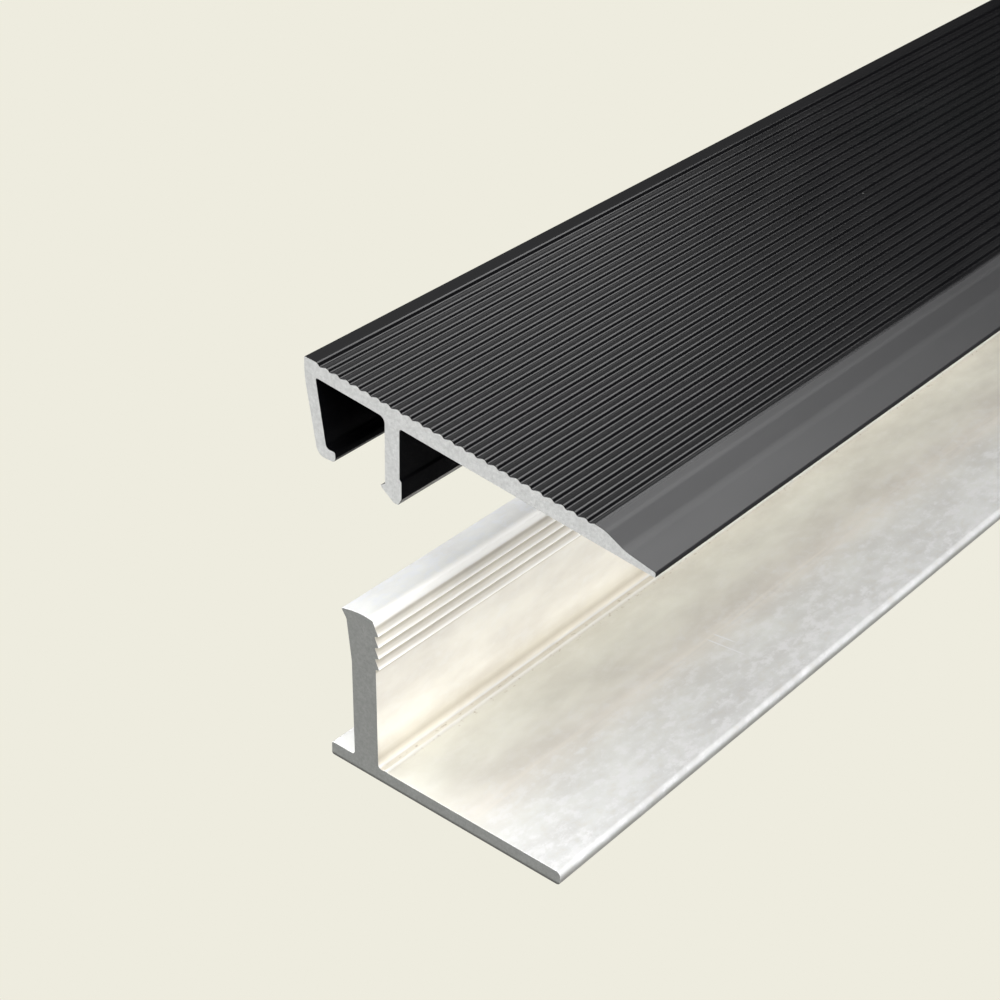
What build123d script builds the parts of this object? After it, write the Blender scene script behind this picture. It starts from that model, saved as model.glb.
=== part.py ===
from build123d import *

import math
import os

# Two-part threshold strip: a T-shaped base track that is fixed to the floor and a ribbed ramp
# cover whose two clip legs straddle the track's toothed head. Both are aluminium extrusions, so
# each is one outline pushed along Y.
#
# X runs across the strip toward the cover's thin nose, Y runs along it, Z is up.
# The origin is the centre of the track's underside. Sizes are in millimetres.
# Distances named "across" are measured along X from the back edge of the track's flange.

STRIP_LENGTH = 900.0

# Base track: flange
FLANGE_WIDTH = 22.0
FLANGE_THICKNESS = 1.2
FLANGE_TOP_ROUND = 0.4
FLANGE_EDGE_ROUND = 0.2
FLANGE_UNDER_ROUND = 0.35
FOOT_FILLET = 0.3

# Base track: upright web and toothed head
WEB_ACROSS = 2.35
WEB_THICKNESS = 2.4
WEB_LEAN = 0.2
CROWN_APEX_HEIGHT = 14.56
CROWN_ROUND = 5.0
CROWN_CORNER_ROUND = 0.12
FLARE_REACH = 0.9
FLARE_TOP_DROP = 0.4
FLARE_DEPTH = 0.75
NECK_TOP_REACH = 0.4
NECK_LENGTH = 3.6
NECK_TOP_ROUND = 0.4
NECK_FOOT_ROUND = 2.0
CROWN_FRONT_SETBACK = 0.2
CROWN_FRONT_DROP = 0.15
CROWN_APEX_SETBACK = 1.35
TOOTH_COUNT = 4
TOOTH_PITCH = 0.98
TOOTH_REACH = 0.34
TOOTH_SLOPE_HEIGHT = 0.72
LOWEST_TOOTH_HEIGHT = 10.3
TOOTH_TIP_ROUND = 0.06

# Cover: how far it stands above its seat on the track, and how far down it can be pressed
LIFT = 17.2

# Cover: ramp plate, heights given with the cover pressed down on the track
COVER_BACK_ACROSS = -1.7
COVER_NOSE_ACROSS = 28.2
COVER_BACK_HEIGHT = 16.45
PLATE_TILT = 5.8
PLATE_THICKNESS = 1.4
CHANNEL_ROOF_THICKNESS = 1.2
BACK_CORNER_ROUND = 0.15

# Cover: wave-shaped ribs on the plate, each with a steep wall toward the nose
RIB_COUNT = 26
RIB_PITCH = 0.925
FIRST_RIB_ACROSS = -0.458
RIB_PEAK = 0.05
RIB_HEIGHT = 0.25
RIB_WALL_RUN = 0.25
RIB_CREST_ROUND = 0.32
RIB_VALLEY_ROUND = 0.21

# Cover: bevelled nose, with a narrow land before it
LAND_WIDTH = 0.9
LAND_ROUND = 0.12
BEVEL_WIDTH = 3.95
BEVEL_TOP_DROP = 0.08
BEVEL_TOP_ROUND = 1.5
STEEP_BEVEL_RUN = 1.55
STEEP_BEVEL_DROP = 0.87
NOSE_THICKNESS = 0.42
BEVEL_HOLLOW_ROUND = 3.0
NOSE_ROUND = 0.12

# Cover: front clip leg, with a pad on its outer face and a barb that hooks under the teeth
FRONT_LEG_ACROSS = 5.65
FRONT_LEG_THICKNESS = 1.35
FRONT_LEG_BOTTOM = 8.1
LEG_ROOT_FILLET = 0.5
OUTER_ROOT_FILLET = 0.2
PAD_HEIGHT = 2.1
PAD_STEP = 0.17
TOE_HEIGHT = 0.55
TOE_SETBACK = 0.3
TOE_ROUND = 0.2
SOLE_BACK_SETBACK = 0.75
SOLE_ROUND = 0.3
BARB_REACH = 0.46
BARB_TIP_HEIGHT = 0.9
BARB_TIP_ROUND = 0.08
BARB_THROAT_HEIGHT = 1.25

# Cover: back clip leg, which leans in under the plate and ends in a rounded foot with a lip
BACK_LEG_BOTTOM = 9.0
BACK_LEG_THICKNESS = 1.06
BACK_LEG_UPRIGHT = 1.6
KNEE_ROUND = 6.0
BACK_ROOT_FILLET = 0.15
HEEL_ACROSS = -0.65
HEEL_ROUND = 0.8
FOOT_ACROSS = 1.1
FOOT_ROUND = 0.42
LIP_SETBACK = 0.06
LIP_HEIGHT = 0.87
LIP_ROUND = 0.15
ANKLE_ACROSS = 0.22
ANKLE_FILLET = 0.35

os.makedirs("parts", exist_ok=True)


def at(across, height, radius=0.0):
    """One corner of an outline: distance from the track's back edge, height, corner radius."""
    return (across - FLANGE_WIDTH / 2, height, radius)


def on_web(across, height, radius=0.0):
    """A corner on the web or its head, which lean back a little over their height."""
    rise = (height - FLANGE_THICKNESS) / (CROWN_APEX_HEIGHT - FLANGE_THICKNESS)
    return at(across - WEB_LEAN * rise, height, radius)


def extrusion(corners):
    """Push a closed outline of at() corners along the whole strip."""
    points = [(x, z) for x, z, radius in corners]
    radii = [radius for x, z, radius in corners]
    outline = Plane.XZ * FilletPolyline(*points, radius=radii, close=True)
    return extrude(make_face(outline), amount=STRIP_LENGTH / 2, both=True)


def tooth_corners():
    """The ratchet teeth on the web's front face, from the top one down."""
    front = WEB_ACROSS + WEB_THICKNESS
    corners = []
    for step in reversed(range(TOOTH_COUNT)):
        tip_height = LOWEST_TOOTH_HEIGHT + step * TOOTH_PITCH
        corners.append(on_web(front, tip_height + TOOTH_SLOPE_HEIGHT))
        corners.append(on_web(front + TOOTH_REACH, tip_height, TOOTH_TIP_ROUND))
        corners.append(on_web(front, tip_height - (TOOTH_PITCH - TOOTH_SLOPE_HEIGHT) / 2))
    return corners


def base_track():
    back = WEB_ACROSS
    front = WEB_ACROSS + WEB_THICKNESS
    flare_height = CROWN_APEX_HEIGHT - FLARE_TOP_DROP
    neck_height = flare_height - FLARE_DEPTH
    flange = [
        at(0.0, 0.0, FLANGE_EDGE_ROUND),
        at(FLANGE_WIDTH, 0.0, FLANGE_UNDER_ROUND),
        at(FLANGE_WIDTH, FLANGE_THICKNESS, FLANGE_TOP_ROUND),
        at(front, FLANGE_THICKNESS, FOOT_FILLET),
    ]
    front_height = CROWN_APEX_HEIGHT - CROWN_FRONT_DROP
    crown = [
        on_web(front - CROWN_FRONT_SETBACK, front_height, CROWN_CORNER_ROUND),
        on_web(front - CROWN_APEX_SETBACK, CROWN_APEX_HEIGHT, CROWN_ROUND),
        on_web(back - FLARE_REACH, flare_height, CROWN_CORNER_ROUND),
        on_web(back - NECK_TOP_REACH, neck_height, NECK_TOP_ROUND),
        on_web(back, neck_height - NECK_LENGTH, NECK_FOOT_ROUND),
    ]
    ledge = [
        at(back, FLANGE_THICKNESS, FOOT_FILLET),
        at(0.0, FLANGE_THICKNESS, FLANGE_EDGE_ROUND),
    ]
    return extrusion(flange + list(reversed(tooth_corners())) + crown + ledge)


def plate_top(across):
    """Height of the plate's rib crests, with the cover raised as it is built."""
    fall = math.tan(math.radians(PLATE_TILT)) * (across - COVER_BACK_ACROSS)
    return COVER_BACK_HEIGHT + LIFT - fall


def below_plate(across, thickness):
    """Height of a face that lies the given thickness under the crests."""
    return plate_top(across) - thickness / math.cos(math.radians(PLATE_TILT))


def rib_corners():
    """Waves from the back strip to the nose: a crest, then the valley under its steep wall."""
    corners = []
    for index in range(RIB_COUNT):
        crest = FIRST_RIB_ACROSS + index * RIB_PITCH
        valley = crest + RIB_WALL_RUN
        corners.append(at(crest, plate_top(crest) + RIB_PEAK, RIB_CREST_ROUND))
        corners.append(at(valley, plate_top(valley) + RIB_PEAK - RIB_HEIGHT, RIB_VALLEY_ROUND))
    return corners


def nose_corners():
    bevel = COVER_NOSE_ACROSS - BEVEL_WIDTH
    land = bevel - LAND_WIDTH
    hollow = bevel + STEEP_BEVEL_RUN
    under_nose = below_plate(COVER_NOSE_ACROSS, PLATE_THICKNESS)
    return [
        at(land, plate_top(land), LAND_ROUND),
        at(bevel, plate_top(bevel) - BEVEL_TOP_DROP, BEVEL_TOP_ROUND),
        at(hollow, plate_top(bevel) - STEEP_BEVEL_DROP, BEVEL_HOLLOW_ROUND),
        at(COVER_NOSE_ACROSS, under_nose + NOSE_THICKNESS, NOSE_ROUND),
        at(COVER_NOSE_ACROSS, under_nose, NOSE_ROUND),
    ]


def front_leg_corners():
    inner = FRONT_LEG_ACROSS
    outer = inner + FRONT_LEG_THICKNESS
    sole = FRONT_LEG_BOTTOM + LIFT
    pad = outer + PAD_STEP
    return [
        at(outer, below_plate(outer, PLATE_THICKNESS), OUTER_ROOT_FILLET),
        at(outer, sole + PAD_HEIGHT),
        at(pad, sole + PAD_HEIGHT - PAD_STEP),
        at(pad, sole + TOE_HEIGHT),
        at(pad - TOE_SETBACK, sole, TOE_ROUND),
        at(pad - SOLE_BACK_SETBACK, sole, SOLE_ROUND),
        at(inner - BARB_REACH, sole + BARB_TIP_HEIGHT, BARB_TIP_ROUND),
        at(inner, sole + BARB_THROAT_HEIGHT),
        at(inner, below_plate(inner, CHANNEL_ROOF_THICKNESS), LEG_ROOT_FILLET),
    ]


def back_leg_corners():
    sole = BACK_LEG_BOTTOM + LIFT
    plate_back_top = COVER_BACK_HEIGHT + LIFT
    inner = COVER_BACK_ACROSS + BACK_LEG_THICKNESS
    return [
        at(inner, below_plate(inner, CHANNEL_ROOF_THICKNESS), BACK_ROOT_FILLET),
        at(ANKLE_ACROSS, sole + LIP_HEIGHT, ANKLE_FILLET),
        at(FOOT_ACROSS - LIP_SETBACK, sole + LIP_HEIGHT, LIP_ROUND),
        at(FOOT_ACROSS, sole, FOOT_ROUND),
        at(HEEL_ACROSS, sole, HEEL_ROUND),
        at(COVER_BACK_ACROSS, plate_back_top - BACK_LEG_UPRIGHT, KNEE_ROUND),
        at(COVER_BACK_ACROSS, plate_back_top, BACK_CORNER_ROUND),
    ]


def ramp_cover():
    return extrusion(rib_corners() + nose_corners() + front_leg_corners() + back_leg_corners())


export_step(base_track(), "parts/base_track.step")
export_step(ramp_cover(), "parts/ramp_cover.step")
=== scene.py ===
import math

import bmesh
import bpy
from mathutils import Matrix, Vector


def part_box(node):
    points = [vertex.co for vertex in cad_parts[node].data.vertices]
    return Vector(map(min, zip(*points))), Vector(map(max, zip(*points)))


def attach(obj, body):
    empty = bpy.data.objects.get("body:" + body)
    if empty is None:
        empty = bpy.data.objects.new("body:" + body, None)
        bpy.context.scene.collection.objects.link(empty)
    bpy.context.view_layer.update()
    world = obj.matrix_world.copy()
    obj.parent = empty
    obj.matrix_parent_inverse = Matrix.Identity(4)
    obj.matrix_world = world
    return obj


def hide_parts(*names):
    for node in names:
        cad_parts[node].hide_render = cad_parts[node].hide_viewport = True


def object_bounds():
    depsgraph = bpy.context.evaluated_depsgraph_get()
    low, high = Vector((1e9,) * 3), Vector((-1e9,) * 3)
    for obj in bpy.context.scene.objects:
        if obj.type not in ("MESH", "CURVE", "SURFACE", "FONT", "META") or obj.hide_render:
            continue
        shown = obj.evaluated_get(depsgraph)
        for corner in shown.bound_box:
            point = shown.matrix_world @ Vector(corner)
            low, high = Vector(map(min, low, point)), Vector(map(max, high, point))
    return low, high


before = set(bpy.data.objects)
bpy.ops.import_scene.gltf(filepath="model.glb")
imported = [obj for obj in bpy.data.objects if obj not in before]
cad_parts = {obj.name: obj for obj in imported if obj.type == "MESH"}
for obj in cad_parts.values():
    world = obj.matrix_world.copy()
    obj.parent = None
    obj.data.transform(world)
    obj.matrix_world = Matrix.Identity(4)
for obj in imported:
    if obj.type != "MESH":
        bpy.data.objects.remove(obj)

# The threshold strip's looks: both aluminium profiles are swept again with finer rounds than the
# CAD mesh has, and get procedural materials. Metres in the row frame: X across toward the cover's
# thin nose, Y along the strip, Z up. Sizes named below are in millimetres.
# "across" is measured along X from the back edge of the track's flange.

MM = 0.001
cad_low, cad_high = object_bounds()
track_low, track_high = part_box("base_track")
cover_low, cover_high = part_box("ramp_cover")
NEAR_END = cad_low.y
FAR_END = cad_high.y

# Outlines: how finely rounds are divided, and the least round a drawn corner gets
ARC_STEP = math.radians(7)
EDGE_ROUND = 0.03
CUT_CHAMFER = 0.02
SPAN_COUNT = 36
SHARP_ANGLE = math.radians(24)

# Track
FLANGE_WIDTH = (track_high.x - track_low.x) / MM
FLANGE_THICKNESS = 1.2
FLANGE_TOP_ROUND = 0.4
FLANGE_EDGE_ROUND = 0.2
FLANGE_UNDER_ROUND = 0.35
FOOT_FILLET = 0.3
WEB_BACK = 2.35
WEB_FRONT = 4.75
WEB_LEAN = 0.2
CROWN_APEX_HEIGHT = 14.56
CROWN_ROUND = 5.0
CROWN_CORNER_ROUND = 0.12
FLARE_REACH = 0.9
FLARE_TOP_DROP = 0.4
FLARE_DEPTH = 0.75
NECK_TOP_REACH = 0.4
NECK_LENGTH = 3.6
NECK_TOP_ROUND = 0.4
NECK_FOOT_ROUND = 2.0
CROWN_FRONT_SETBACK = 0.2
CROWN_FRONT_DROP = 0.15
CROWN_APEX_SETBACK = 1.35
TOOTH_COUNT = 4
TOOTH_PITCH = 0.98
TOOTH_REACH = 0.34
TOOTH_SLOPE_HEIGHT = 0.72
LOWEST_TOOTH_HEIGHT = 10.3
TOOTH_TIP_ROUND = 0.06
BEAD_ACROSS = 5.25
BEAD_WIDTH = 0.45
BEAD_HEIGHT = 0.07

# Cover: plate, ribs and nose
COVER_BACK = (cover_low.x - track_low.x) / MM
COVER_NOSE = (cover_high.x - track_low.x) / MM
PLATE_TOP = cover_high.z / MM
PLATE_SLOPE = math.tan(math.radians(5.8))
PLATE_THICKNESS = 1.4
CHANNEL_ROOF_THICKNESS = 1.2
BACK_CORNER_ROUND = 0.15
RIB_COUNT = 26
RIB_PITCH = 0.925
FIRST_RIB_SETBACK = 1.242
RIB_PEAK = 0.05
RIB_HEIGHT = 0.25
RIB_WALL_RUN = 0.25
RIB_CREST_ROUND = 0.32
RIB_VALLEY_ROUND = 0.21
LAND_WIDTH = 0.9
LAND_ROUND = 0.12
BEVEL_WIDTH = 3.95
BEVEL_TOP_DROP = 0.08
BEVEL_TOP_ROUND = 1.5
STEEP_BEVEL_RUN = 1.55
STEEP_BEVEL_DROP = 0.87
NOSE_THICKNESS = 0.42
BEVEL_HOLLOW_ROUND = 3.0
NOSE_ROUND = 0.12

# Cover: front clip leg
COVER_BOTTOM = cover_low.z / MM
FRONT_LEG_INNER = 5.65
FRONT_LEG_OUTER = 7.0
LEG_ROOT_FILLET = 0.5
OUTER_ROOT_FILLET = 0.2
PAD_HEIGHT = 2.1
PAD_STEP = 0.17
TOE_HEIGHT = 0.55
TOE_SETBACK = 0.3
TOE_ROUND = 0.2
SOLE_BACK_SETBACK = 0.75
SOLE_ROUND = 0.3
BARB_REACH = 0.46
BARB_TIP_HEIGHT = 0.9
BARB_TIP_ROUND = 0.08
BARB_THROAT_HEIGHT = 1.25

# Cover: back clip leg
BACK_SOLE_RISE = 0.9
BACK_LEG_THICKNESS = 1.06
BACK_LEG_UPRIGHT = 1.6
KNEE_ROUND = 6.0
BACK_ROOT_FILLET = 0.15
HEEL_ACROSS = -0.65
HEEL_ROUND = 0.8
FOOT_ACROSS = 1.1
FOOT_ROUND = 0.42
LIP_SETBACK = 0.06
LIP_HEIGHT = 0.87
LIP_ROUND = 0.15
ANKLE_ACROSS = 0.22
ANKLE_FILLET = 0.35


def corner(across, height, radius=EDGE_ROUND):
    """One outline corner in metres: its place in X and Z, and its round."""
    return (Vector((track_low.x + across * MM, height * MM)), radius * MM)


def on_web(across, height, radius=EDGE_ROUND):
    """A corner on the web or its head, which lean back a little over their height."""
    rise = (height - FLANGE_THICKNESS) / (CROWN_APEX_HEIGHT - FLANGE_THICKNESS)
    return corner(across - WEB_LEAN * rise, height, radius)


def rounded(corners):
    """Replace each corner by the points of its arc."""
    points = []
    for index, (place, radius) in enumerate(corners):
        toward_last = (corners[index - 1][0] - place).normalized()
        toward_next = (corners[(index + 1) % len(corners)][0] - place).normalized()
        turn = math.pi - toward_last.angle(toward_next)
        steps = math.ceil(turn / ARC_STEP)
        if steps < 2:
            points.append(place)
            continue
        start = place + toward_last * radius * math.tan(turn / 2)
        centre = place + (toward_last + toward_next).normalized() * radius / math.cos(turn / 2)
        spoke = start - centre
        side = toward_last.cross(toward_next)
        swing = math.copysign(turn, -side) / steps
        for step in range(steps + 1):
            points.append(centre + Matrix.Rotation(swing * step, 2) @ spoke)
    return points


def inset(outline, depth):
    """The outline moved inward by a small depth."""
    moved = []
    for index, point in enumerate(outline):
        along = (outline[(index + 1) % len(outline)] - outline[index - 1]).normalized()
        moved.append(point + Vector((-along.y, along.x)) * depth)
    return moved


def swept(name, corners, finish, cut_finish):
    """Sweep an outline along the strip, with slightly broken edges at the sawn ends."""
    outline = rounded(corners)
    chamfer = CUT_CHAMFER * MM
    length = FAR_END - NEAR_END
    stations = [NEAR_END + chamfer + (length - 2 * chamfer) * span / SPAN_COUNT
                for span in range(SPAN_COUNT + 1)]
    rings = [(NEAR_END, inset(outline, chamfer))]
    rings += [(y, outline) for y in stations]
    rings += [(FAR_END, inset(outline, chamfer))]
    vertices = [(point.x, y, point.y) for y, ring in rings for point in ring]
    size = len(outline)
    faces = []
    for ring in range(len(rings) - 1):
        for side in range(size):
            after = (side + 1) % size
            low, high = ring * size, (ring + 1) * size
            faces.append((low + side, low + after, high + after, high + side))
    faces.append(tuple(reversed(range(size))))
    faces.append(tuple(range((len(rings) - 1) * size, len(rings) * size)))
    mesh = bpy.data.meshes.new(name)
    mesh.from_pydata(vertices, [], faces)
    mesh.materials.append(finish)
    mesh.materials.append(cut_finish)
    mesh.polygons[-1].material_index = 1
    mesh.polygons[-2].material_index = 1
    mesh.shade_smooth()
    mesh.set_sharp_from_angle(angle=SHARP_ANGLE)
    piece = bpy.data.objects.new(name, mesh)
    bpy.context.scene.collection.objects.link(piece)
    shading = piece.modifiers.new("even_shading", "WEIGHTED_NORMAL")
    shading.keep_sharp = True
    return piece


# Outlines, anticlockwise seen from the near end, which inset() and swept() count on


def tooth_corners():
    """The ratchet teeth on the web's front face, from the lowest up."""
    corners = []
    for step in range(TOOTH_COUNT):
        tip = LOWEST_TOOTH_HEIGHT + step * TOOTH_PITCH
        corners.append(on_web(WEB_FRONT, tip - (TOOTH_PITCH - TOOTH_SLOPE_HEIGHT) / 2))
        corners.append(on_web(WEB_FRONT + TOOTH_REACH, tip, TOOTH_TIP_ROUND))
        corners.append(on_web(WEB_FRONT, tip + TOOTH_SLOPE_HEIGHT))
    return corners


def track_corners():
    flare_height = CROWN_APEX_HEIGHT - FLARE_TOP_DROP
    neck_height = flare_height - FLARE_DEPTH
    crown_front = WEB_FRONT - CROWN_FRONT_SETBACK
    corners = [
        corner(0, 0, FLANGE_EDGE_ROUND),
        corner(FLANGE_WIDTH, 0, FLANGE_UNDER_ROUND),
        corner(FLANGE_WIDTH, FLANGE_THICKNESS, FLANGE_TOP_ROUND),
        corner(BEAD_ACROSS + BEAD_WIDTH, FLANGE_THICKNESS),
        corner(BEAD_ACROSS + BEAD_WIDTH / 2, FLANGE_THICKNESS + BEAD_HEIGHT, BEAD_WIDTH / 2),
        corner(BEAD_ACROSS, FLANGE_THICKNESS),
        corner(WEB_FRONT, FLANGE_THICKNESS, FOOT_FILLET),
    ]
    corners += tooth_corners()
    corners += [
        on_web(crown_front, CROWN_APEX_HEIGHT - CROWN_FRONT_DROP, CROWN_CORNER_ROUND),
        on_web(WEB_FRONT - CROWN_APEX_SETBACK, CROWN_APEX_HEIGHT, CROWN_ROUND),
        on_web(WEB_BACK - FLARE_REACH, flare_height, CROWN_CORNER_ROUND),
        on_web(WEB_BACK - NECK_TOP_REACH, neck_height, NECK_TOP_ROUND),
        on_web(WEB_BACK, neck_height - NECK_LENGTH, NECK_FOOT_ROUND),
        corner(WEB_BACK, FLANGE_THICKNESS, FOOT_FILLET),
        corner(0, FLANGE_THICKNESS, FLANGE_EDGE_ROUND),
    ]
    return corners


def plate_top(across):
    """Height of the plane the ribs' crests lie near."""
    return PLATE_TOP - PLATE_SLOPE * (across - COVER_BACK)


def below_plate(across, thickness):
    """Height of a face that lies the given thickness under the crests."""
    return plate_top(across) - thickness * math.hypot(1, PLATE_SLOPE)


def rib_corners():
    """Waves from the nose back: the valley under a steep wall, then the crest above it."""
    corners = []
    for index in reversed(range(RIB_COUNT)):
        crest = COVER_BACK + FIRST_RIB_SETBACK + index * RIB_PITCH
        valley = crest + RIB_WALL_RUN
        valley_height = plate_top(valley) + RIB_PEAK - RIB_HEIGHT
        corners.append(corner(valley, valley_height, RIB_VALLEY_ROUND))
        corners.append(corner(crest, plate_top(crest) + RIB_PEAK, RIB_CREST_ROUND))
    return corners


def nose_corners():
    bevel = COVER_NOSE - BEVEL_WIDTH
    land = bevel - LAND_WIDTH
    under_nose = below_plate(COVER_NOSE, PLATE_THICKNESS)
    return [
        corner(COVER_NOSE, under_nose, NOSE_ROUND),
        corner(COVER_NOSE, under_nose + NOSE_THICKNESS, NOSE_ROUND),
        corner(bevel + STEEP_BEVEL_RUN, plate_top(bevel) - STEEP_BEVEL_DROP, BEVEL_HOLLOW_ROUND),
        corner(bevel, plate_top(bevel) - BEVEL_TOP_DROP, BEVEL_TOP_ROUND),
        corner(land, plate_top(land), LAND_ROUND),
    ]


def front_leg_corners():
    pad = FRONT_LEG_OUTER + PAD_STEP
    barb_tip = FRONT_LEG_INNER - BARB_REACH
    root = below_plate(FRONT_LEG_INNER, CHANNEL_ROOF_THICKNESS)
    return [
        corner(FRONT_LEG_INNER, root, LEG_ROOT_FILLET),
        corner(FRONT_LEG_INNER, COVER_BOTTOM + BARB_THROAT_HEIGHT),
        corner(barb_tip, COVER_BOTTOM + BARB_TIP_HEIGHT, BARB_TIP_ROUND),
        corner(pad - SOLE_BACK_SETBACK, COVER_BOTTOM, SOLE_ROUND),
        corner(pad - TOE_SETBACK, COVER_BOTTOM, TOE_ROUND),
        corner(pad, COVER_BOTTOM + TOE_HEIGHT),
        corner(pad, COVER_BOTTOM + PAD_HEIGHT - PAD_STEP),
        corner(FRONT_LEG_OUTER, COVER_BOTTOM + PAD_HEIGHT),
        corner(FRONT_LEG_OUTER, below_plate(FRONT_LEG_OUTER, PLATE_THICKNESS), OUTER_ROOT_FILLET),
    ]


def back_leg_corners():
    sole = COVER_BOTTOM + BACK_SOLE_RISE
    inner = COVER_BACK + BACK_LEG_THICKNESS
    return [
        corner(COVER_BACK, PLATE_TOP, BACK_CORNER_ROUND),
        corner(COVER_BACK, PLATE_TOP - BACK_LEG_UPRIGHT, KNEE_ROUND),
        corner(HEEL_ACROSS, sole, HEEL_ROUND),
        corner(FOOT_ACROSS, sole, FOOT_ROUND),
        corner(FOOT_ACROSS - LIP_SETBACK, sole + LIP_HEIGHT, LIP_ROUND),
        corner(ANKLE_ACROSS, sole + LIP_HEIGHT, ANKLE_FILLET),
        corner(inner, below_plate(inner, CHANNEL_ROOF_THICKNESS), BACK_ROOT_FILLET),
    ]


def cover_corners():
    return back_leg_corners() + front_leg_corners() + nose_corners() + rib_corners()


# Materials

WHITE = (1, 1, 1)
# Warm white of the painted highlights where the web meets the flange
WARM_WHITE = (1, 1, 0.97)

# Mill finish: tints from the flange's back edge, 0, to its front edge, 1
# The cream near the web is painted reflection; the rest is the metal's own tone
FLANGE_TINTS_AND_REFLECTION = (
    (0.0, (0.86, 0.87, 0.87)),
    (0.16, (0.88, 0.89, 0.87)),
    (0.22, (0.94, 0.9, 0.82)),
    (0.25, (0.86, 0.855, 0.79)),
    (0.4, (0.89, 0.89, 0.825)),
    (0.6, (0.95, 0.925, 0.87)),
    (0.75, (0.93, 0.94, 0.92)),
    (1.0, (0.93, 0.94, 0.94)),
)
CLOUD_DARK = (0.88, 0.87, 0.86, 1)
CLOUD_LIGHT = (1, 1, 0.99, 1)
SMUDGE_TINT = (0.97, 0.98, 0.98)
STREAK_TINT = (0.98, 0.94, 0.87)
PIT_TINT = (0.5, 0.44, 0.36)
FROST_TINT = (0.83, 0.85, 0.88, 1)
# Tint of the painted highlights on the tooth tips and crown edge
EDGE_HIGHLIGHT_TINT = (1, 0.99, 0.95)
MILL_METALLIC = 0.45

# Mill finish: places across the strip
SMUDGES_FROM = 9
SMUDGES_FULL = 20
CRYSTALS_FROM = 11
CRYSTALS_FULL = 21
STREAK_BACK = 13.2
STREAK_FRONT = 14.2
PITS_BACK = 5.0
PITS_FRONT = 6.0
WEB_ZONE = 5.1
# Painted highlight along the crown's front edge
CROWN_EDGE_BACK = 3.95
CROWN_EDGE_FRONT = 4.7
# Painted shade on the web's face among the teeth, behind their tips
ROOT_ZONE = 4.62
ROOT_ZONE_END = 4.9

# Mill finish: heights
CROWN_ZONE = 13.9
TOOTH_ZONE_TOP = 13.9
ROOT_ZONE_FOOT = 9.9
# Bands of painted shade low on the web
FOOT_SHADE_LOW = 1.7
FOOT_SHADE_HIGH = 2.3
LOW_WEB_LOW = 1.5
LOW_WEB_HIGH = 3.2
# Painted contact shade just over the floor, fading upward
FLOOR_SHADE_BELOW = 0.45
FLOOR_SHADE_FADED = 0.9

# Scratches on the flange: distance across, distance from the near end, length, angle in degrees
SCRATCHES = ((15.4, 29.4, 3.9, -84), (14.6, 30.3, 2.1, -82))
SCRATCH_HALF_WIDTH = 0.03
SCRATCH_FADED = 0.1

# Sawn ends
TRACK_END_COLOUR = (0.27, 0.275, 0.26)
COVER_END_COLOUR = (0.66, 0.665, 0.65)
SAWN_METALLIC = 0.3
SAWN_DARKEST = 0.66

# Black coating
COAT_DARK = (0.002, 0.002, 0.0025, 1)
COAT_LIGHT = (0.003, 0.003, 0.0035, 1)
# The bevel has the same coating; its paler colour is painted sheen
BEVEL_PAINTED_SHEEN = (0.021, 0.021, 0.022)
BEVEL_FADE = 0.3
BEVEL_EXTRA_ROUGHNESS = 0.12
DUST_TINT = (0.5, 0.5, 0.48)
DUST_SPACING = 1.6
DUST_RARITY = 0.975


def add(tree, kind, settings=None, **inputs):
    """Add a shader node; inputs are its sockets' values or the sockets they take."""
    node = tree.nodes.new("ShaderNode" + kind)
    for name, value in (settings or {}).items():
        setattr(node, name, value)
    for name, value in inputs.items():
        key = int(name[1:]) if name[0] == "_" else name.replace("_", " ")
        socket = node.inputs[key]
        if isinstance(value, bpy.types.NodeSocket):
            tree.links.new(value, socket)
        else:
            socket.default_value = value
    return node


def blank_material(name):
    material = bpy.data.materials.new(name)
    material.use_nodes = True
    material.node_tree.nodes.clear()
    return material, material.node_tree


def finish_material(tree, shader):
    output = tree.nodes.new("ShaderNodeOutputMaterial")
    tree.links.new(shader.outputs[0], output.inputs["Surface"])


def stretched(tree, across, along):
    """Object coordinates scaled so that a texture of scale 1 has features of these sizes in mm."""
    place = add(tree, "TexCoord")
    scale = (1 / (across * MM), 1 / (along * MM), 1 / (across * MM))
    mapping = add(tree, "Mapping", Vector=place.outputs["Object"], Scale=scale)
    return mapping.outputs["Vector"]


def noise(tree, across, along, detail=2.0, roughness=0.5, distortion=0.0):
    """Soft noise in 0 to 1 with features of the given sizes in mm."""
    node = add(tree, "TexNoise", Vector=stretched(tree, across, along), Scale=1.0,
               Detail=detail, Roughness=roughness, Distortion=distortion)
    return node.outputs[0]


def spread(tree, value, low, high, to_low=0.0, to_high=1.0):
    """Map low..high to to_low..to_high, clamped."""
    node = add(tree, "MapRange", _0=value, _1=low, _2=high, _3=to_low, _4=to_high)
    return node.outputs[0]


def fall(tree, value, low, high):
    """1 below the low value, fading to 0 at the high one."""
    return spread(tree, value, low, high, 1, 0)


def math_node(tree, operation, first, second):
    node = add(tree, "Math", {"operation": operation}, _0=first, _1=second)
    return node.outputs[0]


def times(tree, first, second):
    return math_node(tree, "MULTIPLY", first, second)


def larger(tree, first, second):
    return math_node(tree, "MAXIMUM", first, second)


def band(tree, value, low, high, soft):
    """1 where the value lies between low and high, with soft edges."""
    rising = spread(tree, value, low - soft, low + soft)
    falling = fall(tree, value, high - soft, high + soft)
    return times(tree, rising, falling)


def mixed(tree, factor, first, second):
    """Mix two colours."""
    node = add(tree, "Mix", {"data_type": "RGBA"}, _0=factor, _6=first, _7=second)
    return node.outputs[2]


def shaded(tree, colour, shade):
    """Multiply a colour by a shade."""
    node = add(tree, "Mix", {"data_type": "RGBA", "blend_type": "MULTIPLY"},
               _0=1.0, _6=colour, _7=shade)
    return node.outputs[2]


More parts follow.
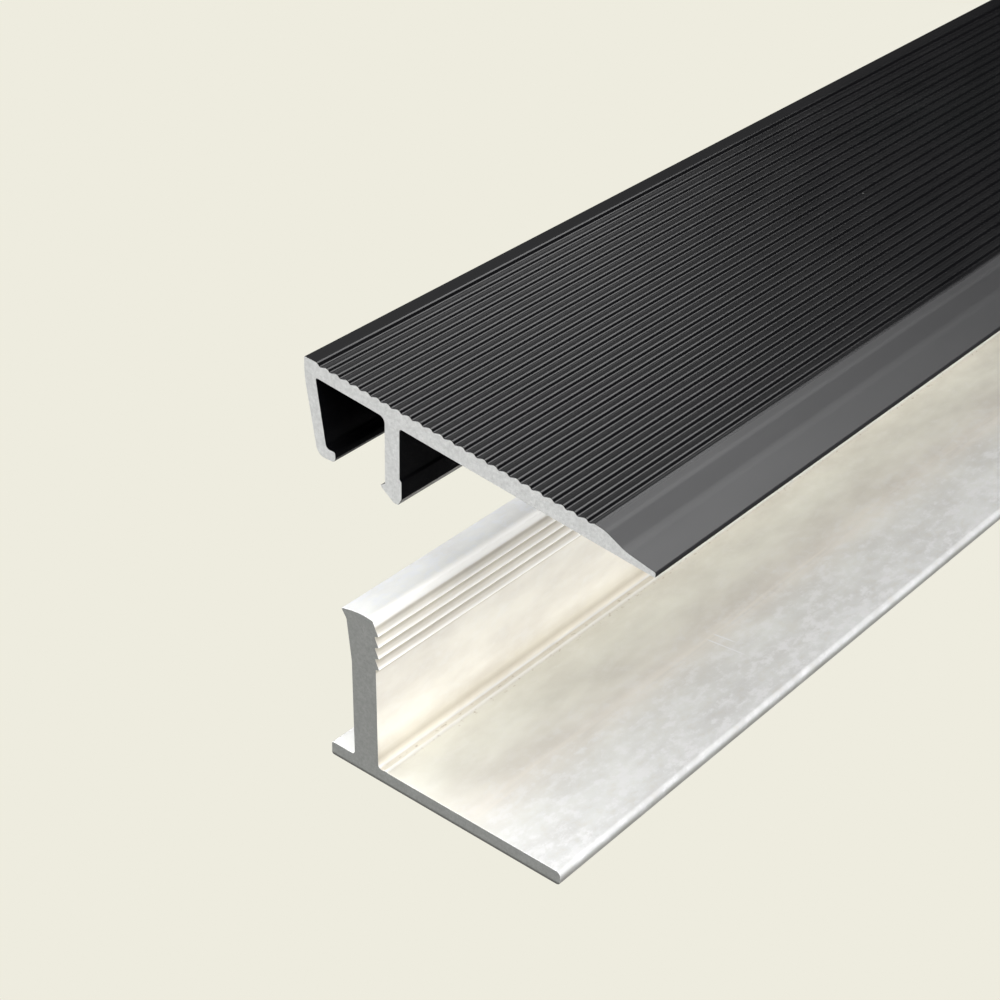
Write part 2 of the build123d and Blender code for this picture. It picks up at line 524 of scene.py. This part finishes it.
def lightened(tree, colour, strength, tint):
    """Blend a colour toward a tint."""
    return mixed(tree, strength, colour, tint + (1,))


def darkened(tree, colour, strength, left):
    """Darken a colour, a little warmly, to the given part of its brightness at strength 1."""
    warm = (left, left * 0.98, left * 0.94, 1)
    return shaded(tree, colour, mixed(tree, strength, (1, 1, 1, 1), warm))


def bump(tree, height, distance, under=None):
    """A surface normal raised by the height over the given distance in mm."""
    inputs = {"Height": height, "Distance": distance * MM}
    if under is not None:
        inputs["Normal"] = under
    return add(tree, "Bump", **inputs).outputs[0]


def ramp(tree, value, stops):
    """A smooth colour ramp from (position, colour) stops."""
    node = add(tree, "ValToRGB", Fac=value)
    elements = node.color_ramp.elements
    while len(elements) < len(stops):
        elements.new(0.5)
    for element, (position, colour) in zip(elements, stops):
        element.position = position
        element.color = colour + (1,)
    return node.outputs[0]


def height_over_floor(tree):
    """Height in mm."""
    place = add(tree, "TexCoord").outputs["Object"]
    rise = add(tree, "SeparateXYZ", Vector=place).outputs[2]
    return math_node(tree, "DIVIDE", rise, MM)


def distance_across(tree):
    """Distance from the track's back edge in mm."""
    place = add(tree, "TexCoord").outputs["Object"]
    side = add(tree, "SeparateXYZ", Vector=place).outputs[0]
    return math_node(tree, "DIVIDE", math_node(tree, "SUBTRACT", side, track_low.x), MM)


def scratch(tree, across, setback, length, angle):
    """A short straight scratch on the flange: 1 on its line, 0 away from it."""
    place = add(tree, "TexCoord").outputs["Object"]
    middle = (track_low.x + across * MM, NEAR_END + setback * MM, FLANGE_THICKNESS * MM)
    local = add(tree, "Mapping", {"vector_type": "TEXTURE"}, Vector=place, Location=middle,
                Rotation=(0, 0, math.radians(angle)))
    parts = add(tree, "SeparateXYZ", Vector=local.outputs[0])
    off_line = math_node(tree, "ABSOLUTE", parts.outputs[0], 0)
    off_middle = math_node(tree, "ABSOLUTE", parts.outputs[1], 0)
    near_line = fall(tree, off_line, SCRATCH_HALF_WIDTH * MM, SCRATCH_FADED * MM)
    within = fall(tree, off_middle, length * MM * 0.35, length * MM * 0.5)
    low_down = fall(tree, parts.outputs[2], 0.1 * MM, 0.2 * MM)
    return times(tree, times(tree, near_line, within), low_down)


def mill_base(tree, across):
    """Tints: cream by the web as painted reflection, cooler and brighter at the edge, under a soft
    cloud.
    """
    colour = ramp(tree, math_node(tree, "DIVIDE", across, FLANGE_WIDTH), FLANGE_TINTS_AND_REFLECTION)
    cloud = noise(tree, 2.8, 7, detail=3)
    shade = mixed(tree, spread(tree, cloud, 0.35, 0.65), CLOUD_DARK, CLOUD_LIGHT)
    return shaded(tree, colour, shade)


def flange_mottle(tree, colour, across, mottle, crystals):
    """Smudges and light and dark crystals, stronger toward the flange's front edge."""
    smudges = times(tree, spread(tree, mottle, 0.55, 0.7),
                    spread(tree, across, SMUDGES_FROM, SMUDGES_FULL, 0.15, 0.8))
    colour = lightened(tree, colour, smudges, SMUDGE_TINT)
    sparkle = times(tree, spread(tree, crystals, 0.5, 0.62),
                    spread(tree, across, CRYSTALS_FROM, CRYSTALS_FULL, 0.1, 1))
    colour = lightened(tree, colour, sparkle, WHITE)
    shadows = times(tree, spread(tree, crystals, 0.46, 0.36),
                    spread(tree, across, CRYSTALS_FROM, CRYSTALS_FULL, 0.1, 0.6))
    return darkened(tree, colour, shadows, 0.93)


def flange_marks(tree, colour, across):
    """A warm streak, small pits near the web, and the scratches."""
    streak = times(tree, band(tree, across, STREAK_BACK, STREAK_FRONT, 0.5),
                   spread(tree, noise(tree, 0.5, 14), 0.4, 0.6))
    colour = lightened(tree, colour, times(tree, streak, 0.6), STREAK_TINT)
    pits = times(tree, band(tree, across, PITS_BACK, PITS_FRONT, 0.1),
                 spread(tree, noise(tree, 0.25, 0.5, detail=3), 0.6, 0.7))
    colour = lightened(tree, colour, times(tree, pits, 0.6), PIT_TINT)
    first, second = (scratch(tree, *place) for place in SCRATCHES)
    return lightened(tree, colour, larger(tree, first, second), WHITE)


def painted_foot_highlights(tree, colour, across, height):
    """Painted highlights: two bright lines at the web's foot, on the bead and the corner behind it.
    """
    bead = band(tree, across, BEAD_ACROSS + 0.1, BEAD_ACROSS + BEAD_WIDTH - 0.1, 0.1)
    corner_line = band(tree, across, WEB_FRONT + 0.05, WEB_FRONT + FOOT_FILLET / 2, 0.05)
    low_down = fall(tree, height, FLANGE_THICKNESS + 0.4, FLANGE_THICKNESS + 0.6)
    lines = times(tree, larger(tree, bead, corner_line), low_down)
    return lightened(tree, colour, lines, WARM_WHITE)


def web_shades(tree, colour, across, height, on_web, crystals):
    """Frost on the crown; painted shade in bands low on the web and on its face among the teeth."""
    on_crown = times(tree, on_web, spread(tree, height, CROWN_ZONE, CROWN_ZONE + 0.1))
    frost = times(tree, on_crown, spread(tree, crystals, 0.4, 0.52, 0.6, 0))
    colour = mixed(tree, frost, colour, FROST_TINT)
    # Painted shade in bands low on the web, near its foot
    painted_foot_shade = times(tree, on_web, band(tree, height, FOOT_SHADE_LOW, FOOT_SHADE_HIGH, 0.3))
    colour = darkened(tree, colour, painted_foot_shade, 0.8)
    painted_low_web_shade = times(tree, on_web, band(tree, height, LOW_WEB_LOW, LOW_WEB_HIGH, 0.7))
    colour = darkened(tree, colour, painted_low_web_shade, 0.85)
    # Painted shade on the web's face among the teeth
    painted_root_shade = times(tree, fall(tree, across, ROOT_ZONE, ROOT_ZONE_END),
                  band(tree, height, ROOT_ZONE_FOOT, TOOTH_ZONE_TOP, 0.1))
    return darkened(tree, colour, painted_root_shade, 0.9)


def painted_tooth_light(tree, across, height, on_web):
    """Painted shade in the tooth grooves, and painted highlights on the tooth tips and crown edge.
    """
    over_lowest = math_node(tree, "SUBTRACT", height, LOWEST_TOOTH_HEIGHT)
    step = math_node(tree, "FRACT", math_node(tree, "DIVIDE", over_lowest, TOOTH_PITCH), 0)
    on_teeth = times(tree, on_web,
                     band(tree, height, LOWEST_TOOTH_HEIGHT - 0.4, TOOTH_ZONE_TOP, 0.1))
    painted_groove_shade = times(tree, band(tree, step, 0.55, 0.84, 0.15), on_teeth)
    tips = times(tree, fall(tree, step, 0.1, 0.3), on_teeth)
    crown_edge = times(tree, band(tree, across, CROWN_EDGE_BACK, CROWN_EDGE_FRONT, 0.25),
                       spread(tree, height, CROWN_ZONE, CROWN_ZONE + 0.2))
    return painted_groove_shade, larger(tree, crown_edge, times(tree, tips, 0.8))


def mill_aluminium():
    """Mill finish: mottled and streaked on the flange, with painted light and shade on the web and
    teeth.
    """
    material, tree = blank_material("mill_aluminium")
    across = distance_across(tree)
    height = height_over_floor(tree)
    die_lines = noise(tree, 0.16, 60, detail=3)
    broad_lines = noise(tree, 1.4, 120, detail=2)
    mottle = noise(tree, 1.1, 2.4, detail=5, roughness=0.62, distortion=0.4)
    crystals = noise(tree, 0.9, 1.5, detail=5, roughness=0.7)
    on_web = fall(tree, across, WEB_ZONE, WEB_ZONE + 0.1)
    painted_groove_shade, painted_edge_highlight = painted_tooth_light(tree, across, height, on_web)
    colour = mill_base(tree, across)
    colour = flange_mottle(tree, colour, across, mottle, crystals)
    colour = flange_marks(tree, colour, across)
    colour = painted_foot_highlights(tree, colour, across, height)
    colour = web_shades(tree, colour, across, height, on_web, crystals)
    # Painted shade in the tooth grooves, then painted highlights on the tooth tips and crown edge
    colour = darkened(tree, colour, painted_groove_shade, 0.66)
    colour = lightened(tree, colour, painted_edge_highlight, EDGE_HIGHLIGHT_TINT)
    # Painted contact shade just over the floor
    colour = darkened(tree, colour, fall(tree, height, FLOOR_SHADE_BELOW, FLOOR_SHADE_FADED), 0.5)
    relief = bump(tree, broad_lines, 0.02)
    relief = bump(tree, mottle, 0.012, under=relief)
    relief = bump(tree, die_lines, 0.004, under=relief)
    # Less metallic under the painted highlights, so those edges read brighter
    shader = add(tree, "BsdfPrincipled", Base_Color=colour,
                 Metallic=spread(tree, painted_edge_highlight, 0, 1, MILL_METALLIC, 0),
                 Roughness=spread(tree, mottle, 0.3, 0.7, 0.5, 0.38), Normal=relief)
    finish_material(tree, shader)
    return material


def sawn_aluminium(name, colour):
    """A sawn end: matt, with fine blade marks, and painted shade just over the floor."""
    material, tree = blank_material(name)
    grain = noise(tree, 0.22, 0.22, detail=5, roughness=0.75)
    strokes = noise(tree, 1.2, 1.2, detail=2)
    dark = tuple(SAWN_DARKEST * value for value in colour) + (1,)
    shade = mixed(tree, spread(tree, grain, 0.3, 0.7), dark, colour + (1,))
    shade = mixed(tree, spread(tree, strokes, 0.4, 0.75, 0, 0.3), shade, dark)
    # Painted contact shade just over the floor
    shade = darkened(tree, shade, fall(tree, height_over_floor(tree), 0.12, 0.3), 0.35)
    relief = bump(tree, grain, 0.01)
    shader = add(tree, "BsdfPrincipled", Base_Color=shade, Metallic=SAWN_METALLIC,
                 Roughness=0.6, Normal=relief)
    finish_material(tree, shader)
    return material


def dust(tree):
    """A few round specks, one in some of the cells of a scattered grid."""
    cells = add(tree, "TexVoronoi", Vector=stretched(tree, DUST_SPACING, DUST_SPACING), Scale=1.0)
    lot = add(tree, "SeparateColor", Color=cells.outputs["Color"]).outputs[0]
    near = fall(tree, cells.outputs["Distance"], 0.03, 0.06)
    return times(tree, near, math_node(tree, "GREATER_THAN", lot, DUST_RARITY))


def black_coating():
    """Satin black coating with a fine grain and dust specks; more matt on the bevel, with painted
    sheen.
    """
    material, tree = blank_material("black_coating")
    grain = noise(tree, 0.09, 0.12, detail=2)
    cloud = noise(tree, 2.5, 8, detail=3)
    colour = mixed(tree, cloud, COAT_DARK, COAT_LIGHT)
    colour = lightened(tree, colour, times(tree, dust(tree), 0.7), DUST_TINT)
    bevel_start = COVER_NOSE - BEVEL_WIDTH - LAND_WIDTH
    on_bevel = spread(tree, distance_across(tree), bevel_start, bevel_start + BEVEL_FADE)
    # Painted sheen: the bevel's colour lifted toward a pale grey
    colour = lightened(tree, colour, on_bevel, BEVEL_PAINTED_SHEEN)
    roughness = math_node(tree, "ADD", spread(tree, cloud, 0.3, 0.7, 0.16, 0.19),
                          times(tree, on_bevel, BEVEL_EXTRA_ROUGHNESS))
    relief = bump(tree, grain, 0.0035)
    shader = add(tree, "BsdfPrincipled", Base_Color=colour, Roughness=roughness, Normal=relief)
    finish_material(tree, shader)
    return material


# Studio

FLOOR_COLOUR = (0.855, 0.838, 0.738, 1)
FLOOR_REACH = 12
FLOOR_DROP = 0.2
BACKDROP_REACH = 18
BACKDROP_SEGMENTS = 48
CAMERA_AZIMUTH = 39.22
CAMERA_ELEVATION = 32.94
CAMERA_ROLL = 1.43
CAMERA_DISTANCE = 163
CAMERA_LENS = 79.86
CLIP_START = 0.005
CLIP_END = 200
TARGET_ACROSS = -6.02
TARGET_SETBACK = 13.15
TARGET_HEIGHT = 18.55

# The room's light: how it grows with the height of the look, and the paler patches on its
# walls, each an azimuth, elevation and reach in degrees, and a strength
ROOM_DARK = 0.03
ROOM_PALE = 0.4
PALE_FROM = 0.55
PALE_FULL = 0.95
WALL_PATCHES = ((-75, 35, 47, 0.45), (-140, 0, 80, 0.8))


def direction(azimuth, elevation):
    """Unit vector toward an azimuth from +Y toward +X and an elevation, in degrees."""
    turn, rise = math.radians(azimuth), math.radians(elevation)
    return Vector((math.sin(turn) * math.cos(rise), math.cos(turn) * math.cos(rise),
                   math.sin(rise)))


def camera():
    data = bpy.data.cameras.new("camera")
    data.lens = CAMERA_LENS
    data.clip_start = CLIP_START
    data.clip_end = CLIP_END
    target = Vector((TARGET_ACROSS * MM, NEAR_END + TARGET_SETBACK * MM, TARGET_HEIGHT * MM))
    back = direction(180 - CAMERA_AZIMUTH, CAMERA_ELEVATION)
    eye = bpy.data.objects.new("camera", data)
    turn = (-back).to_track_quat("-Z", "Y").to_matrix()
    roll = Matrix.Rotation(math.radians(CAMERA_ROLL), 3, "Z")
    eye.matrix_world = Matrix.LocRotScale(target + back * CAMERA_DISTANCE * MM,
                                          (turn @ roll).to_quaternion(), None)
    bpy.context.scene.collection.objects.link(eye)
    bpy.context.scene.camera = eye


def only_seen(name, mesh):
    """Place a pale sheet that the camera sees but that takes no part in the lighting."""
    material, tree = blank_material(name)
    finish_material(tree, add(tree, "Emission", Color=FLOOR_COLOUR))
    mesh.materials.append(material)
    sheet = bpy.data.objects.new(name, mesh)
    sheet.visible_diffuse = False
    sheet.visible_glossy = False
    sheet.visible_shadow = False
    bpy.context.scene.collection.objects.link(sheet)
    return sheet


def floor():
    """A plain pale floor just under the strip."""
    half = FLOOR_REACH
    mesh = bpy.data.meshes.new("floor")
    mesh.from_pydata([(-half, -half, 0), (half, -half, 0), (half, half, 0), (-half, half, 0)],
                     [], [(0, 1, 2, 3)])
    ground = only_seen("floor", mesh)
    ground.location.z = cad_low.z - FLOOR_DROP * MM


def backdrop():
    """A plain pale dome beyond the floor's edge, for views that look along the floor."""
    dome = bmesh.new()
    bmesh.ops.create_uvsphere(dome, u_segments=BACKDROP_SEGMENTS,
                              v_segments=BACKDROP_SEGMENTS // 2, radius=BACKDROP_REACH)
    mesh = bpy.data.meshes.new("backdrop")
    dome.to_mesh(mesh)
    dome.free()
    only_seen("backdrop", mesh)


def softbox(name, azimuth, elevation, distance, width, height, radiance):
    """A soft white area light aimed at the near end. Sizes are in metres."""
    data = bpy.data.lights.new(name, "AREA")
    data.shape = "RECTANGLE"
    data.size = width
    data.size_y = height
    data.energy = radiance * math.pi * width * height
    toward = direction(azimuth, elevation)
    light = bpy.data.objects.new(name, data)
    near_end = Vector((0, NEAR_END, cad_high.z))
    light.location = near_end + toward * distance
    light.rotation_mode = "QUATERNION"
    light.rotation_quaternion = toward.to_track_quat("Z", "Y")
    light.visible_camera = False
    bpy.context.scene.collection.objects.link(light)


def surroundings():
    """The room: dark, but pale overhead and in two wide patches on the side of the web's back."""
    world = bpy.data.worlds.new("room")
    bpy.context.scene.world = world
    world.use_nodes = True
    tree = world.node_tree
    tree.nodes.clear()
    look = add(tree, "TexCoord").outputs["Generated"]
    height = add(tree, "SeparateXYZ", Vector=look).outputs[2]
    light = spread(tree, height, PALE_FROM, PALE_FULL, ROOM_DARK, ROOM_PALE)
    for azimuth, elevation, reach, strength in WALL_PATCHES:
        aim = add(tree, "VectorMath", {"operation": "DOT_PRODUCT"}, _0=look,
                  _1=direction(azimuth, elevation))
        patch = spread(tree, aim.outputs["Value"], math.cos(math.radians(reach)), 1, 0, strength)
        light = math_node(tree, "ADD", light, patch)
    background = add(tree, "Background", Color=(1, 1, 1, 1), Strength=light)
    output = tree.nodes.new("ShaderNodeOutputWorld")
    tree.links.new(background.outputs[0], output.inputs["Surface"])


bpy.context.scene.view_settings.view_transform = "Standard"

track = swept("track_profile", track_corners(), mill_aluminium(),
              sawn_aluminium("sawn_track_end", TRACK_END_COLOUR))
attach(track, "track")
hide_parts("base_track")

cover = swept("cover_profile", cover_corners(), black_coating(),
              sawn_aluminium("sawn_cover_end", COVER_END_COLOUR))
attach(cover, "cover")
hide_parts("ramp_cover")

camera()
floor()
backdrop()
surroundings()
softbox("overhead_softbox", azimuth=-3, elevation=53, distance=3.0,
        width=1.6, height=1.3, radiance=3.5)
softbox("key_softbox", azimuth=96, elevation=22, distance=5.0,
        width=3.8, height=5.0, radiance=5.5)
softbox("front_softbox", azimuth=185, elevation=-15, distance=3.0,
        width=2.4, height=1.4, radiance=3.2)
softbox("top_softbox", azimuth=190, elevation=66, distance=3.0,
        width=1.8, height=1.8, radiance=2.0)
softbox("side_softbox", azimuth=103, elevation=60, distance=3.0,
        width=1.9, height=1.7, radiance=3.5)
softbox("back_softbox", azimuth=-96, elevation=42, distance=3.0,
        width=2.4, height=1.8, radiance=5.4)
